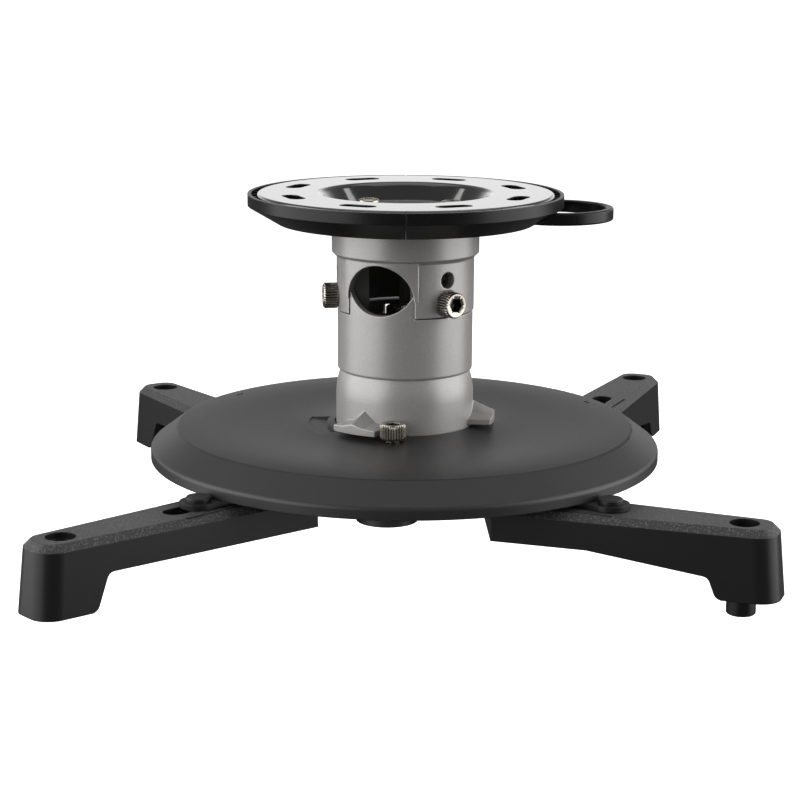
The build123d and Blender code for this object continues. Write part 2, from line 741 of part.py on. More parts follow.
os.makedirs("parts", exist_ok=True)
for name, shape in nodes.items():
    export_step(shape, "parts/" + name + ".step")
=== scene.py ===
"""Looks of a ceiling mount for a projector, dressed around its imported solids.

Metres in Blender, millimetres in the sizes below.
The ceiling face is z = 0, +Z is up and -Y faces the viewer.
"""

from __future__ import annotations

import logging
import math
from dataclasses import dataclass
from enum import Enum
from typing import Any, NamedTuple

import bpy
import numpy as np
from mathutils import Matrix, Vector

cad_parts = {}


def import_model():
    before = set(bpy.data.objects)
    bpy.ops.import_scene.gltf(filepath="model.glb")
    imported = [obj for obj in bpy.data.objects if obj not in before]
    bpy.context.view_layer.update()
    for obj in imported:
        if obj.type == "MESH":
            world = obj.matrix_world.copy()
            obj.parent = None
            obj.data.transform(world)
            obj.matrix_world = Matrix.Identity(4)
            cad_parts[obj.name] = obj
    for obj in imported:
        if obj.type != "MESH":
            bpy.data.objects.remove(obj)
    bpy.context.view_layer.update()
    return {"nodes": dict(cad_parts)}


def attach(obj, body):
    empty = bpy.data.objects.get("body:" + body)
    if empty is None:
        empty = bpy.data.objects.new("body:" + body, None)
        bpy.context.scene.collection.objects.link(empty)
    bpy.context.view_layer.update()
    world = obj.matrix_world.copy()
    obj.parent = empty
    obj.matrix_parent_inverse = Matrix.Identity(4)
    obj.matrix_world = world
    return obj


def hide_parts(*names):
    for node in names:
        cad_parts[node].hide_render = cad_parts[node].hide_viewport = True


MM = 0.001
CORNERS = ("fl", "fr", "bl", "br")
GROOVE_DARK_ATTRIBUTE = "groove_dark"
SHARP_DEG = 40.0
WHITE = "ffffff"
COLOUR_MIX = {"data_type": "RGBA"}
SMOOTH_STEP = {"interpolation_type": "SMOOTHSTEP"}
MULTIPLY = {"operation": "MULTIPLY"}

Colour = tuple[float, float, float, float]
Point = tuple[float, float, float]

log = logging.getLogger("ceiling_mount")


class Slot(Enum):
    """The record's material slots."""

    GLOSS_STEEL = "gloss_black_steel"
    BLACK_STEEL = "black_steel"
    TRIM = "trim_plastic"
    COVER = "cover_plastic"
    ARM = "arm_plastic"
    POST = "post_plastic"
    CASTING = "silver_casting"
    PLATED = "plated_steel"


class Span(NamedTuple):
    """A stretch of numbers, and the stretch that a map range carries it onto."""

    from_low: float
    from_high: float
    to_low: float = 0.0
    to_high: float = 1.0

    def sockets(self) -> dict[str, float]:
        """The four numbers under the names of a map range's inputs."""
        return dict(From_Min=self.from_low, From_Max=self.from_high, To_Min=self.to_low, To_Max=self.to_high)


def linear(code: str) -> Colour:
    """Turn an sRGB hex colour into linear light: a straight toe, then the power curve.

    Args:
        code: Six hex digits.

    Returns:
        Linear red, green and blue, and an alpha of 1.
    """
    toe, toe_gain, lift, power = 0.04045, 12.92, 0.055, 2.4
    shares = [int(code[i:i + 2], 16) / 255 for i in (0, 2, 4)]
    light = [s / toe_gain if s <= toe else ((s + lift) / (1 + lift)) ** power for s in shares]
    return (*light, 1.0)


def per_mm(size: float) -> float:
    """Noise scale, in cells per metre, of a pattern whose grains are this many millimetres across."""
    return 1.0 / (size * MM)


def add_node(mat: bpy.types.Material | bpy.types.World, kind: str, settings: dict[str, Any] | None = None,
             **sockets: Any) -> bpy.types.Node:
    """Add a node, set its properties, and set or link its inputs.

    Args:
        mat: The material or world that gets the node.
        kind: The node's type name.
        settings: Properties of the node itself.
        **sockets: An input's name, with _ for a space, or i and its number, and a value or an output to link.

    Returns:
        The new node.
    """
    node = mat.node_tree.nodes.new(kind)
    for name, value in (settings or {}).items():
        setattr(node, name, value)
    for name, value in sockets.items():
        key = int(name[1:]) if name[0] == "i" and name[1:].isdigit() else name.replace("_", " ")
        if isinstance(value, bpy.types.NodeSocket):
            mat.node_tree.links.new(value, node.inputs[key])
        else:
            node.inputs[key].default_value = value
    return node


def blank_material(name: str) -> bpy.types.Material:
    """Start a node material with nothing in it.

    Args:
        name: The finish's own name.

    Returns:
        The material, with an empty tree.
    """
    mat = bpy.data.materials.new(name)
    mat.use_nodes = True
    mat.node_tree.nodes.clear()
    return mat


def worn_corners(mat: bpy.types.Material, radius_mm: float, samples: int,
                 wear: Span) -> tuple[bpy.types.NodeSocket, bpy.types.NodeSocket]:
    """Round a finish's corners and find them: there the rounded normal leans away from the face's own.

    Args:
        mat: The material.
        radius_mm: How far the rounding reaches in from an edge.
        samples: How many rays look for the edge.
        wear: From the dot product of the two normals to the share of bare or rubbed surface.

    Returns:
        The rounded normal and the worn share.
    """
    rounded = add_node(mat, "ShaderNodeBevel", {"samples": samples}, Radius=radius_mm * MM).outputs[0]
    flat = add_node(mat, "ShaderNodeNewGeometry").outputs["Normal"]
    same = add_node(mat, "ShaderNodeVectorMath", {"operation": "DOT_PRODUCT"}, i0=rounded, i1=flat)
    worn = add_node(mat, "ShaderNodeMapRange", Value=same.outputs["Value"], **wear.sockets())
    return rounded, worn.outputs[0]


@dataclass(frozen=True)
class CastSilver:
    """Die-cast zinc under silver polyester powder coat.

    The powder melts into a fine orange peel with metal flake in it. Corners, where it is thin, show paler
    metal. Within the column's wall the colour turns a darker grey, which is painted shade. Real flake is too
    fine to show, so it is drawn about as coarse as the picture's dots.
    """

    name: str = "powder_coated_casting"
    coat: str = "b3b1b0"
    coat_deep: str = "a8a6a4"
    worn: str = "e6e4e0"
    inside_painted_shade: str = "5e5d5c"
    metallic: float = 0.35
    cloud_mm: float = 14.0
    flake_mm: float = 0.35
    flake_gain: Span = Span(0.35, 0.7, 0.9, 1.1)
    flake_roughness: Span = Span(0.3, 0.7, 0.34, 0.44)
    peel_mm: float = 0.9
    peel_depth_mm: float = 0.1
    peel_strength: float = 0.12
    edge_mm: float = 0.6
    edge_samples: int = 6
    edge_wear: Span = Span(0.995, 0.93, 0.0, 0.75)
    inside_radius_mm: float = 23.2
    inside_floor_mm: float = -69.0

    def painted_shade_share(self, mat: bpy.types.Material, place: bpy.types.NodeSocket) -> bpy.types.NodeSocket:
        """Find where the shade is painted: nearer to the axis than the column's wall, and above the head's
        seat.

        Args:
            mat: The material.
            place: Object coordinates.

        Returns:
            1 where the shade is painted and 0 elsewhere.
        """
        parts = add_node(mat, "ShaderNodeSeparateXYZ", Vector=place).outputs
        across = add_node(mat, "ShaderNodeCombineXYZ", X=parts["X"], Y=parts["Y"])
        radius = add_node(mat, "ShaderNodeVectorMath", {"operation": "LENGTH"}, i0=across.outputs[0])
        within = add_node(mat, "ShaderNodeMath", {"operation": "LESS_THAN"}, i0=radius.outputs["Value"],
                          i1=self.inside_radius_mm * MM)
        above = add_node(mat, "ShaderNodeMath", {"operation": "GREATER_THAN"}, i0=parts["Z"],
                         i1=self.inside_floor_mm * MM)
        both = add_node(mat, "ShaderNodeMath", MULTIPLY, i0=within.outputs[0], i1=above.outputs[0])
        return both.outputs[0]

    def material(self) -> bpy.types.Material:
        """Build the node tree.

        Returns:
            The finished material.
        """
        mat = blank_material(self.name)
        place = add_node(mat, "ShaderNodeTexCoord").outputs["Object"]
        cloud = add_node(mat, "ShaderNodeTexNoise", Vector=place, Scale=per_mm(self.cloud_mm), Detail=3.0)
        coat = add_node(mat, "ShaderNodeMix", COLOUR_MIX, Factor=cloud.outputs["Fac"], i6=linear(self.coat),
                        i7=linear(self.coat_deep))
        flake = add_node(mat, "ShaderNodeTexNoise", Vector=place, Scale=per_mm(self.flake_mm), Detail=1.0)
        spark = add_node(mat, "ShaderNodeMapRange", Value=flake.outputs["Fac"], **self.flake_gain.sockets())
        flaked = add_node(mat, "ShaderNodeMix", COLOUR_MIX | {"blend_type": "MULTIPLY"}, Factor=1.0,
                          i6=coat.outputs[2], i7=spark.outputs[0])
        rounded, worn = worn_corners(mat, self.edge_mm, self.edge_samples, self.edge_wear)
        outside = add_node(mat, "ShaderNodeMix", COLOUR_MIX, Factor=worn, i6=flaked.outputs[2],
                           i7=linear(self.worn))
        # Painted shade: within the column the coat's colour gives way to a darker grey.
        colour = add_node(mat, "ShaderNodeMix", COLOUR_MIX, Factor=self.painted_shade_share(mat, place),
                          i6=outside.outputs[2], i7=linear(self.inside_painted_shade))
        rough = add_node(mat, "ShaderNodeMapRange", Value=flake.outputs["Fac"],
                         **self.flake_roughness.sockets())
        peel = add_node(mat, "ShaderNodeTexNoise", Vector=place, Scale=per_mm(self.peel_mm), Detail=2.0)
        bump = add_node(mat, "ShaderNodeBump", Strength=self.peel_strength, Distance=self.peel_depth_mm * MM,
                        Height=peel.outputs["Fac"], Normal=rounded)
        shader = add_node(mat, "ShaderNodeBsdfPrincipled", Base_Color=colour.outputs[2],
                          Metallic=self.metallic, Roughness=rough.outputs[0], Normal=bump.outputs[0])
        add_node(mat, "ShaderNodeOutputMaterial", Surface=shader.outputs[0])
        return mat


@dataclass(frozen=True)
class PlatedSteel:
    """Cold-headed steel under bright nickel.

    Warm and mirror-like, a little hazy from the tumbling barrel, and darker in the socket, the knurls' valleys
    and the threads' roots.
    """

    name: str = "nickel_plated_steel"
    bright: str = "cdc7bb"
    dull: str = "a29c91"
    groove_dark: str = "2a2724"
    haze_mm: float = 1.6
    haze_roughness: Span = Span(0.3, 0.7, 0.16, 0.3)
    scuff_mm: float = 0.4
    scuff_depth_mm: float = 0.05
    scuff_strength: float = 0.06
    edge_mm: float = 0.15
    edge_samples: int = 4

    def material(self) -> bpy.types.Material:
        """Build the node tree.

        Returns:
            The finished material.
        """
        mat = blank_material(self.name)
        place = add_node(mat, "ShaderNodeTexCoord").outputs["Object"]
        haze = add_node(mat, "ShaderNodeTexNoise", Vector=place, Scale=per_mm(self.haze_mm), Detail=3.0)
        metal = add_node(mat, "ShaderNodeMix", COLOUR_MIX, Factor=haze.outputs["Fac"], i6=linear(self.bright),
                         i7=linear(self.dull))
        # Darker towards the bottom of grooves: the mesh's groove depth blends in a dark brown-grey.
        depth = add_node(mat, "ShaderNodeAttribute", {"attribute_name": GROOVE_DARK_ATTRIBUTE})
        groove_darkened = add_node(mat, "ShaderNodeMix", COLOUR_MIX, Factor=depth.outputs["Fac"], i6=metal.outputs[2],
                         i7=linear(self.groove_dark))
        rough = add_node(mat, "ShaderNodeMapRange", Value=haze.outputs["Fac"],
                         **self.haze_roughness.sockets())
        scuff = add_node(mat, "ShaderNodeTexNoise", Vector=place, Scale=per_mm(self.scuff_mm), Detail=1.0)
        rounded = add_node(mat, "ShaderNodeBevel", {"samples": self.edge_samples}, Radius=self.edge_mm * MM)
        bump = add_node(mat, "ShaderNodeBump", Strength=self.scuff_strength,
                        Distance=self.scuff_depth_mm * MM, Height=scuff.outputs["Fac"],
                        Normal=rounded.outputs[0])
        shader = add_node(mat, "ShaderNodeBsdfPrincipled", Base_Color=groove_darkened.outputs[2], Metallic=1.0,
                          Roughness=rough.outputs[0], Normal=bump.outputs[0])
        add_node(mat, "ShaderNodeOutputMaterial", Surface=shader.outputs[0])
        return mat


@dataclass(frozen=True)
class GlossLacquer:
    """Pressed sheet steel under a baked black gloss lacquer: near black, with a wet, slightly wavy shine."""

    name: str = "gloss_black_lacquer"
    colour: str = "0c0c0d"
    dust: str = "161617"
    roughness: float = 0.11
    ior: float = 1.55
    coat_roughness: float = 0.05
    coat_ior: float = 1.6
    dust_mm: float = 2.2
    wave_mm: float = 6.0
    wave_depth_mm: float = 0.1
    wave_strength: float = 0.05
    edge_mm: float = 0.5
    edge_samples: int = 4

    def material(self) -> bpy.types.Material:
        """Build the node tree.

        Returns:
            The finished material.
        """
        mat = blank_material(self.name)
        place = add_node(mat, "ShaderNodeTexCoord").outputs["Object"]
        dust = add_node(mat, "ShaderNodeTexNoise", Vector=place, Scale=per_mm(self.dust_mm), Detail=4.0)
        colour = add_node(mat, "ShaderNodeMix", COLOUR_MIX, Factor=dust.outputs["Fac"],
                          i6=linear(self.colour), i7=linear(self.dust))
        wave = add_node(mat, "ShaderNodeTexNoise", Vector=place, Scale=per_mm(self.wave_mm), Detail=2.0)
        rounded = add_node(mat, "ShaderNodeBevel", {"samples": self.edge_samples}, Radius=self.edge_mm * MM)
        bump = add_node(mat, "ShaderNodeBump", Strength=self.wave_strength, Distance=self.wave_depth_mm * MM,
                        Height=wave.outputs["Fac"], Normal=rounded.outputs[0])
        shader = add_node(mat, "ShaderNodeBsdfPrincipled", Base_Color=colour.outputs[2],
                          Roughness=self.roughness, IOR=self.ior, Coat_Weight=1.0,
                          Coat_Roughness=self.coat_roughness, Coat_IOR=self.coat_ior,
                          Normal=bump.outputs[0], Coat_Normal=bump.outputs[0])
        add_node(mat, "ShaderNodeOutputMaterial", Surface=shader.outputs[0])
        return mat


@dataclass(frozen=True)
class GrainedBlack:
    """Black plastic from a spark-eroded mould, or steel under black powder coat, with a fine grain.

    The grain breaks the shine into fine specks, and paler specks are painted into the colour as well: on the
    arm's top they are painted glints. The grain covers all faces or, where a smooth, shaded colour is given,
    those that face up: faces that slide out of the mould along their own length stay smooth. Then the faces
    that face up take a lighter colour and the others a darker one, painted light on the top and painted shade
    on the sides. Corners catch a pale line of light where they are rubbed. Real grain is about 0.1 mm wide,
    and it is drawn coarser so that it shows.
    """

    name: str
    colour: str
    speck_and_glint: str
    rubbed: str
    grain_mm: float
    grain_depth_mm: float
    grain_strength: float
    roughness: float
    smooth_roughness: float
    edge_mm: float
    rub: float
    shine: float = 0.5
    smooth_shaded_colour: str | None = None
    ior: float = 1.5
    grain_mean: float = 0.5
    speck_share: Span = Span(0.52, 0.72)
    facing_up: Span = Span(0.45, 0.65)
    edge_lean: tuple[float, float] = (0.985, 0.85)
    edge_samples: int = 6

    def material(self) -> bpy.types.Material:
        """Build the node tree.

        Returns:
            The finished material.
        """
        mat = blank_material(self.name)
        source = add_node(mat, "ShaderNodeTexCoord").outputs
        grain = add_node(mat, "ShaderNodeTexNoise", Vector=source["Object"], Scale=per_mm(self.grain_mm),
                         Detail=2.0, Roughness=0.6).outputs["Fac"]
        speck_and_glint = add_node(mat, "ShaderNodeMapRange", Value=grain, **self.speck_share.sockets()).outputs[0]
        base: bpy.types.NodeSocket | Colour = linear(self.colour)
        # Painted light: up-facing faces take the lighter colour and its specks, the sides the darker smooth
        # one.
        if self.smooth_shaded_colour:
            facing = add_node(mat, "ShaderNodeSeparateXYZ", Vector=source["Normal"]).outputs["Z"]
            grained_lit_top = add_node(mat, "ShaderNodeMapRange", Value=facing, **self.facing_up.sockets()).outputs[0]
            grain = add_node(mat, "ShaderNodeMath", MULTIPLY, i0=grain, i1=grained_lit_top).outputs[0]
            speck_and_glint = add_node(mat, "ShaderNodeMath", MULTIPLY, i0=speck_and_glint, i1=grained_lit_top).outputs[0]
            base = add_node(mat, "ShaderNodeMix", COLOUR_MIX, Factor=grained_lit_top, i6=linear(self.smooth_shaded_colour),
                            i7=base).outputs[2]
        specked_and_glinted = add_node(mat, "ShaderNodeMix", COLOUR_MIX, Factor=speck_and_glint, i6=base, i7=linear(self.speck_and_glint))
        wear = Span(*self.edge_lean, 0.0, self.rub)
        rounded, worn = worn_corners(mat, self.edge_mm, self.edge_samples, wear)
        colour = add_node(mat, "ShaderNodeMix", COLOUR_MIX, Factor=worn, i6=specked_and_glinted.outputs[2],
                          i7=linear(self.rubbed))
        dulled = Span(0.0, self.grain_mean, self.smooth_roughness, self.roughness)
        rough = add_node(mat, "ShaderNodeMapRange", {"clamp": False}, Value=grain, **dulled.sockets())
        bump = add_node(mat, "ShaderNodeBump", Strength=self.grain_strength,
                        Distance=self.grain_depth_mm * MM, Height=grain, Normal=rounded)
        shader = add_node(mat, "ShaderNodeBsdfPrincipled", Base_Color=colour.outputs[2],
                          Roughness=rough.outputs[0], IOR=self.ior, Specular_IOR_Level=self.shine,
                          Normal=bump.outputs[0])
        add_node(mat, "ShaderNodeOutputMaterial", Surface=shader.outputs[0])
        return mat


TRIM_PLASTIC = GrainedBlack(
    name="satin_abs_trim", colour="0e0e0e", speck_and_glint="161616", rubbed="333333", grain_mm=0.7,
    grain_depth_mm=0.04, grain_strength=0.25, roughness=0.34, smooth_roughness=0.28, edge_mm=0.3, rub=0.35,
    shine=0.3)
COVER_PLASTIC = GrainedBlack(
    name="fine_grained_abs_cover", colour="282727", speck_and_glint="302f2f", rubbed="434242", grain_mm=0.6,
    grain_depth_mm=0.05, grain_strength=0.3, roughness=0.44, smooth_roughness=0.36, edge_mm=0.4, rub=0.2,
    shine=0.55)
# Painted light: a lighter grey and pale specks on the arm's top, painted shade in the darker sides.
ARM_PLASTIC = GrainedBlack(
    name="glass_filled_nylon_arm", colour="3f3f3f", speck_and_glint="727272", rubbed="3c3c3c", grain_mm=0.7,
    grain_depth_mm=0.12, grain_strength=0.6, roughness=0.46, smooth_roughness=0.38, edge_mm=0.5, rub=0.4,
    shine=0.32, smooth_shaded_colour="1c1b1b")
POST_PLASTIC = GrainedBlack(
    name="turned_acetal_post", colour="0f0f0f", speck_and_glint="191919", rubbed="262626", grain_mm=0.5,
    grain_depth_mm=0.03, grain_strength=0.2, roughness=0.36, smooth_roughness=0.3, edge_mm=0.3, rub=0.3)
BLACK_STEEL = GrainedBlack(
    name="black_powder_coated_steel", colour="131314", speck_and_glint="1c1c1d", rubbed="3c3c3c", grain_mm=0.6,
    grain_depth_mm=0.04, grain_strength=0.3, roughness=0.42, smooth_roughness=0.34, edge_mm=0.25, rub=0.5)


def put_mesh(name: str, grids: list[np.ndarray], depths: list[np.ndarray],
             material: bpy.types.Material) -> bpy.types.Object:
    """Make one object from closed grids of points, each a run of rings whose first and last ring are poles.

    Quads join neighbours along the rings and between rings. The last column meets the first, and a pole's
    ring is one vertex with a fan of triangles.

    Args:
        name: The piece's name.
        grids: Arrays of rings x columns x 3 points, in metres, already in place.
        depths: For each grid, rings x columns of how far into a groove a point lies, from 0 to 1.
        material: The finish.

    Returns:
        The new object, at the origin.
    """
    points, groove_dark, faces, pole = [], [], [], 0
    for grid, depth in zip(grids, depths):
        rings, columns = grid.shape[:2]
        points += [grid[0, :1], grid[1:-1].reshape(-1, 3), grid[-1, :1]]
        groove_dark += [depth[0, :1], depth[1:-1].ravel(), depth[-1, :1]]
        around = np.arange(columns)
        beside = (around + 1) % columns
        bands = rings - 3
        starts = pole + 1 + columns * np.arange(bands)[:, None]
        here, there = starts + around, starts + beside
        quads = np.stack([here, there, there + columns, here + columns], axis=-1).reshape(-1, 4)
        first, last = pole + 1, pole + 1 + bands * columns
        far_pole = last + columns
        near_fan = np.stack([np.full(columns, pole), first + beside, first + around], axis=-1)
        far_fan = np.stack([np.full(columns, far_pole), last + around, last + beside], axis=-1)
        faces += quads.tolist() + near_fan.tolist() + far_fan.tolist()
        pole = far_pole + 1
    mesh = bpy.data.meshes.new(name)
    mesh.from_pydata(np.concatenate(points), [], faces)
    mesh.polygons.foreach_set("use_smooth", np.ones(len(mesh.polygons), dtype=bool))
    mesh.set_sharp_from_angle(angle=math.radians(SHARP_DEG))
    mesh.attributes.new(GROOVE_DARK_ATTRIBUTE, "FLOAT", "POINT").data.foreach_set("value", np.concatenate(groove_dark))
    mesh.update()
    mesh.materials.append(material)
    obj = bpy.data.objects.new(name, mesh)
    bpy.context.scene.collection.objects.link(obj)
    return obj


class Ring(NamedTuple):
    """One ring of a screw. Its radius and its depth in a groove are each one number, or one a column."""

    radius: np.ndarray | float
    height: float
    depth: np.ndarray | float


@dataclass
class CapScrew:
    """A knurled socket-head screw, in millimetres, along its own axis with the seat of its head at 0."""

    reach: float
    radius: float = 3.0
    head_radius: float = 5.0
    head: float = 6.0
    chamfer: float = 0.6
    socket_flats: float = 5.0
    socket_depth: float = 3.2
    mouth_width: float = 0.25
    mouth_depth: float = 0.3
    floor_cone: float = 0.5
    cone_waist: float = 0.55
    waist_depth: float = 0.15
    knurls: int = 30
    knurl_depth: float = 0.32
    knurl_sharpness: float = 1.5
    knurl_foot: float = 0.7
    knurl_rows: int = 6
    crown_inset: float = 0.25
    crown_drop: float = 0.7
    crown_knurl: float = 0.5
    crown_dark: float = 0.4
    seat_chamfer: float = 0.5
    seat_dark: float = 0.5
    pitch: float = 1.0
    thread_depth: float = 0.5
    rows_per_turn: int = 8
    neck: float = 0.6
    tip: float = 1.0
    tip_cone: float = 0.7
    tip_chamfer: float = 0.6
    columns: int = 240

    def grid(self) -> tuple[np.ndarray, np.ndarray]:
        """Points of the screw as rings about its axis, and how deep in a groove each one lies.

        The radius is a profile carried round the axis. Round the socket the ring is a hexagon: half the flats
        over the cosine of the angle to the nearest flat. Round the head it is the head's radius less a raised
        cosine, one wave for each knurl. Down the shank it is the root plus a triangle wave of height over
        pitch less angle over a full turn, which winds a thread.

        Returns:
            Rings x columns x 3 points, in millimetres, from the socket's floor to the tip, and rings x columns
            of depth from 0 to 1.
        """
        angle = np.linspace(0, 2 * np.pi, self.columns, endpoint=False)
        sixth = np.pi / 3
        hexagon = self.socket_flats / 2 / np.cos((angle + sixth / 2) % sixth - sixth / 2)
        mouth = self.socket_flats / 2 / math.cos(sixth / 2) + self.mouth_width
        top, floor = self.head, self.head - self.socket_depth
        valley = (0.5 + 0.5 * np.cos(self.knurls * angle)) ** self.knurl_sharpness
        knurl = self.knurl_depth * valley
        crown = self.head_radius - self.crown_knurl * knurl - self.crown_inset
        knurl_heights = np.linspace(top - self.chamfer, self.knurl_foot, self.knurl_rows)
        thread_rows = int((self.reach - self.neck - self.tip) / self.pitch * self.rows_per_turn)
        thread_heights = np.linspace(-self.neck, self.tip - self.reach, thread_rows)
        turns = (thread_heights[:, None] / self.pitch - angle[None, :] / (2 * np.pi)) % 1.0
        cuts = np.abs(2 * turns - 1)
        root = self.radius - self.thread_depth
        rings = [
            Ring(0.0, floor - self.floor_cone, 1.0),
            Ring(self.cone_waist * hexagon, floor - self.waist_depth, 1.0),
            Ring(hexagon, floor, 1.0),
            Ring(hexagon, top - self.mouth_depth, 0.0),
            Ring(mouth, top, 0.0),
            Ring(self.head_radius - self.chamfer, top, 0.0),
            Ring(crown, top - self.crown_drop * self.chamfer, self.crown_dark * valley),
            *[Ring(self.head_radius - knurl, height, valley) for height in knurl_heights],
            Ring(self.head_radius - self.knurl_depth, self.seat_chamfer, self.seat_dark),
            Ring(self.head_radius - self.seat_chamfer, 0.0, self.seat_dark),
            Ring(self.radius, 0.0, self.seat_dark),
            *[Ring(self.radius - self.thread_depth * cut, height, cut)
              for cut, height in zip(cuts, thread_heights)],
            Ring(root, self.tip_cone - self.reach, 0.0),
            Ring(root - self.tip_chamfer, -self.reach, 0.0),
            Ring(0.0, -self.reach, 0.0),
        ]
        radii, heights, depth = [np.stack([np.broadcast_to(value, angle.shape) for value in values])
                                 for values in zip(*rings)]
        return np.stack([radii * np.cos(angle), radii * np.sin(angle), heights], axis=-1), depth


def carried(grid: np.ndarray, axis: Vector, place: Vector) -> np.ndarray:
    """Turn a grid's own Z onto an axis and move it to its place.

    Args:
        grid: Points in millimetres.
        axis: Unit direction that the grid's +Z takes.
        place: Where its origin goes, in millimetres.

    Returns:
        The points in metres.
    """
    turn = np.array(Vector((0, 0, 1)).rotation_difference(axis).to_matrix())
    return (grid @ turn.T + np.array(place)) * MM


@dataclass
class Column:
    """The silver column: yoke and neck, and the three knurled screws that join them."""

    screw_azimuths: tuple[float, ...] = (-53.0, 67.0, 187.0)
    screw_seat: float = 26.2
    screw_height: float = -40.0
    screw_tip: float = 14.0

    def build(self, plated: bpy.types.Material) -> list[bpy.types.Object]:
        """Make the knurled screws that stand for the plain ones.

        Args:
            plated: The screws' finish.

        Returns:
            The new pieces.
        """
        screw, depth = CapScrew(reach=self.screw_seat - self.screw_tip).grid()
        grids = []
        for azimuth in self.screw_azimuths:
            turn = math.radians(azimuth)
            axis = Vector((math.cos(turn), math.sin(turn), 0))
            place = axis * self.screw_seat + Vector((0, 0, self.screw_height))
            grids.append(carried(screw, axis, place))
        piece = put_mesh("knurled_neck_screws", grids, [depth] * len(grids), plated)
        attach(piece, "ceiling")
        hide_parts("neck_screws")
        return [piece]


@dataclass
class Head:
    """The tilting head: dome, cover and the knurled screw that locks the bayonet."""

    screw_azimuth: float = -98.0
    screw_circle: float = 33.0
    screw_seat: float = -90.2
    screw_reach: float = 17.1

    def build(self, plated: bpy.types.Material) -> list[bpy.types.Object]:
        """Make the knurled lock screw that stands for the plain one.

        Args:
            plated: The screw's finish.

        Returns:
            The new pieces.
        """
        turn = math.radians(self.screw_azimuth)
        place = Vector((math.cos(turn) * self.screw_circle, math.sin(turn) * self.screw_circle,
                        self.screw_seat))
        screw, depth = CapScrew(reach=self.screw_reach).grid()
        grid = carried(screw, Vector((0, 0, 1)), place)
        piece = put_mesh("knurled_lock_screw", [grid], [depth], plated)
        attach(piece, "head")
        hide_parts("lock_screw")
        return [piece]


@dataclass
class Dressing:
    """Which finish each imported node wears."""

    nodes: dict[str, bpy.types.Object]

    def dress(self, finishes: dict[Slot, bpy.types.Material]) -> None:
        """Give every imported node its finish.

        Args:
            finishes: A material for each of the record's slots.
        """
        wears = {
            Slot.GLOSS_STEEL: ["ceiling_plate"],
            Slot.BLACK_STEEL: ["spider_plate", "pivot_screws"],
            Slot.TRIM: ["trim_half_left", "trim_half_right"],
            Slot.COVER: ["dome_cover"],
            Slot.ARM: ["arm_" + corner for corner in CORNERS],
            Slot.POST: ["foot_post_" + corner for corner in CORNERS],
            Slot.CASTING: ["yoke", "neck", "ball_hub"],
            Slot.PLATED: ["plate_screws", "neck_screws", "lock_screw", "swivel_bolt", "swivel_nut",
                          "friction_washer", "saddle_washer", "cover_screws",
                          *["guide_nut_" + corner for corner in CORNERS]],
        }
        for slot, names in wears.items():
            for name in names:
                materials = self.nodes[name].data.materials
                materials.clear()
                materials.append(finishes[slot])
                log.info("dressed %s in %s", name, finishes[slot].name)


@dataclass(frozen=True)
class SoftBox:
    """A rectangular soft box that faces a point, in metres and watts."""

    name: str
    place: Point
    aim: Point
    size: tuple[float, float]
    watts: float

    def hang(self) -> None:
        """Add the light to the scene, hidden from the camera itself."""
        light = bpy.data.lights.new(self.name, "AREA")
        light.shape = "RECTANGLE"
        light.size, light.size_y = self.size
        light.energy = self.watts
        lamp = bpy.data.objects.new(self.name, light)
        lamp.location = self.place
        lamp.rotation_euler = (Vector(self.aim) - Vector(self.place)).to_track_quat("-Z", "Y").to_euler()
        lamp.visible_camera = False
        bpy.context.scene.collection.objects.link(lamp)


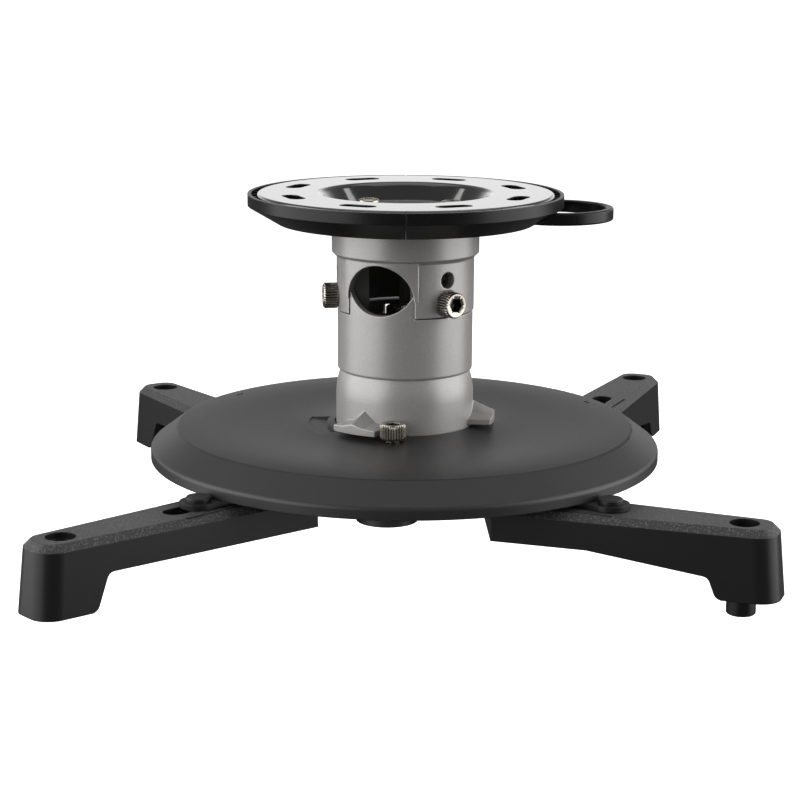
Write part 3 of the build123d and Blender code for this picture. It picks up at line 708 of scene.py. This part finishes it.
@dataclass
class Studio:
    """A white studio: a pale floor, a glowing sweep, soft boxes, and the camera where the photograph's stood.

    A long panel stands at the left, a shorter one at the right, and a weak one hangs overhead. The dark gap
    between the panels is what stands as a dark stripe down the middle of the column.
    """

    focal_px: float = 2050.0
    frame_px: float = 800.0
    sensor: float = 36.0
    clip_start: float = 0.01
    camera_mm: Point = (-1.83, -790.3, 96.4)
    pitch_deg: float = 12.75
    roll_deg: float = 0.3
    floor_mm: float = -200.0
    floor_half: float = 6.0
    floor_glow: float = 0.9
    floor_colour: str = "fafafa"
    floor_roughness: float = 0.9
    fibre_mm: float = 3.0
    fibre_depth_mm: float = 0.1
    fibre_strength: float = 0.02
    backdrop: float = 1.1
    shade_to_ceiling: Span = Span(-0.03, 0.03, 0.1, 0.24)
    sweep_rise: Span = Span(-0.02, 0.02)
    sweep_fall: Span = Span(0.14, 0.42, 0.78, 0.0)
    sweep_behind: Span = Span(-0.1, 0.4)
    soft_boxes: tuple[SoftBox, ...] = (
        SoftBox("panel_left", (-1.05, -0.6, 0.25), aim=(0.0, -0.6, 0.05), size=(2.0, 1.3), watts=20.0),
        SoftBox("panel_right", (1.1, -0.12, 0.25), aim=(0.0, -0.12, 0.05), size=(1.3, 1.3), watts=13.0),
        SoftBox("overhead", (0.0, 0.2, 1.1), aim=(0.0, 0.0, -0.07), size=(1.2, 1.0), watts=2.5))

    def build_floor(self) -> None:
        """Lay a flat white floor, four corners of a square, which is clear when it is seen from below."""
        h, z = self.floor_half, self.floor_mm * MM
        mesh = bpy.data.meshes.new("studio_floor")
        mesh.from_pydata([(-h, -h, z), (h, -h, z), (h, h, z), (-h, h, z)], [], [(0, 1, 2, 3)])
        floor = bpy.data.objects.new("studio_floor", mesh)
        bpy.context.scene.collection.objects.link(floor)
        mat = blank_material("white_paper_floor")
        place = add_node(mat, "ShaderNodeTexCoord").outputs["Object"]
        fibre = add_node(mat, "ShaderNodeTexNoise", Vector=place, Scale=per_mm(self.fibre_mm), Detail=2.0)
        bump = add_node(mat, "ShaderNodeBump", Strength=self.fibre_strength,
                        Distance=self.fibre_depth_mm * MM, Height=fibre.outputs["Fac"])
        paper = add_node(mat, "ShaderNodeBsdfPrincipled", Base_Color=linear(self.floor_colour),
                         Roughness=self.floor_roughness, Emission_Color=linear(WHITE),
                         Emission_Strength=self.floor_glow, Normal=bump.outputs[0])
        under = add_node(mat, "ShaderNodeNewGeometry").outputs["Backfacing"]
        clear = add_node(mat, "ShaderNodeBsdfTransparent")
        one_sided = add_node(mat, "ShaderNodeMixShader", i0=under, i1=paper.outputs[0], i2=clear.outputs[0])
        add_node(mat, "ShaderNodeOutputMaterial", Surface=one_sided.outputs[0])
        mesh.materials.append(mat)
        floor.visible_glossy = False
        floor.visible_diffuse = False

    def build_world(self) -> None:
        """Surround the object with a white backdrop, a bright sweep at the horizon and dim light elsewhere.

        The glow is a function of a direction's height: the shade's below the horizon, the ceiling's above it,
        and the sweep's in a low band behind the object, which the lacquer mirrors at a flat angle.
        """
        world = bpy.data.worlds.new("white_studio")
        bpy.context.scene.world = world
        world.use_nodes = True
        world.node_tree.nodes.clear()
        way = add_node(world, "ShaderNodeTexCoord").outputs["Generated"]
        parts = add_node(world, "ShaderNodeSeparateXYZ", Vector=way).outputs
        around, rise, fall, behind = [
            add_node(world, "ShaderNodeMapRange", SMOOTH_STEP, Value=parts[axis], **span.sockets()).outputs[0]
            for axis, span in (("Z", self.shade_to_ceiling), ("Z", self.sweep_rise), ("Z", self.sweep_fall),
                               ("Y", self.sweep_behind))]
        low = add_node(world, "ShaderNodeMath", MULTIPLY, i0=rise, i1=fall)
        band = add_node(world, "ShaderNodeMath", MULTIPLY, i0=low.outputs[0], i1=behind)
        glow = add_node(world, "ShaderNodeMath", {"operation": "ADD"}, i0=around, i1=band.outputs[0])
        seen = add_node(world, "ShaderNodeLightPath").outputs["Is Camera Ray"]
        strength = add_node(world, "ShaderNodeMix", {"data_type": "FLOAT"}, Factor=seen, i2=glow.outputs[0],
                            i3=self.backdrop)
        back = add_node(world, "ShaderNodeBackground", Color=linear(WHITE), Strength=strength.outputs[0])
        add_node(world, "ShaderNodeOutputWorld", Surface=back.outputs[0])

    def build_camera(self) -> None:
        """Set the camera at the photograph's place, height and pitch."""
        camera = bpy.data.cameras.new("photo_camera")
        camera.sensor_width = self.sensor
        camera.lens = self.focal_px * self.sensor / self.frame_px
        camera.clip_start = self.clip_start
        holder = bpy.data.objects.new("photo_camera", camera)
        holder.location = Vector(self.camera_mm) * MM
        aim = Matrix.Rotation(math.radians(90 - self.pitch_deg), 3, "X")
        holder.rotation_euler = (aim @ Matrix.Rotation(math.radians(self.roll_deg), 3, "Z")).to_euler()
        bpy.context.scene.collection.objects.link(holder)
        bpy.context.scene.camera = holder

    def build(self) -> None:
        """Set up floor, world, lights, camera and the way that light turns into picture."""
        self.build_floor()
        self.build_world()
        for box in self.soft_boxes:
            box.hang()
        self.build_camera()
        view = bpy.context.scene.view_settings
        view.view_transform = "Standard"
        view.look = "None"


def main() -> None:
    """Load the frame, dress its nodes, add the detailed pieces and set the studio."""
    logging.basicConfig(level=logging.INFO, format="%(message)s")
    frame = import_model()
    finishes = {
        Slot.GLOSS_STEEL: GlossLacquer().material(),
        Slot.BLACK_STEEL: BLACK_STEEL.material(),
        Slot.TRIM: TRIM_PLASTIC.material(),
        Slot.COVER: COVER_PLASTIC.material(),
        Slot.ARM: ARM_PLASTIC.material(),
        Slot.POST: POST_PLASTIC.material(),
        Slot.CASTING: CastSilver().material(),
        Slot.PLATED: PlatedSteel().material(),
    }
    Dressing(frame["nodes"]).dress(finishes)
    for assembly in (Column(), Head()):
        for piece in assembly.build(finishes[Slot.PLATED]):
            log.info("built %s with %d faces", piece.name, len(piece.data.polygons))
    Studio().build()


if __name__ == "__main__":
    main()
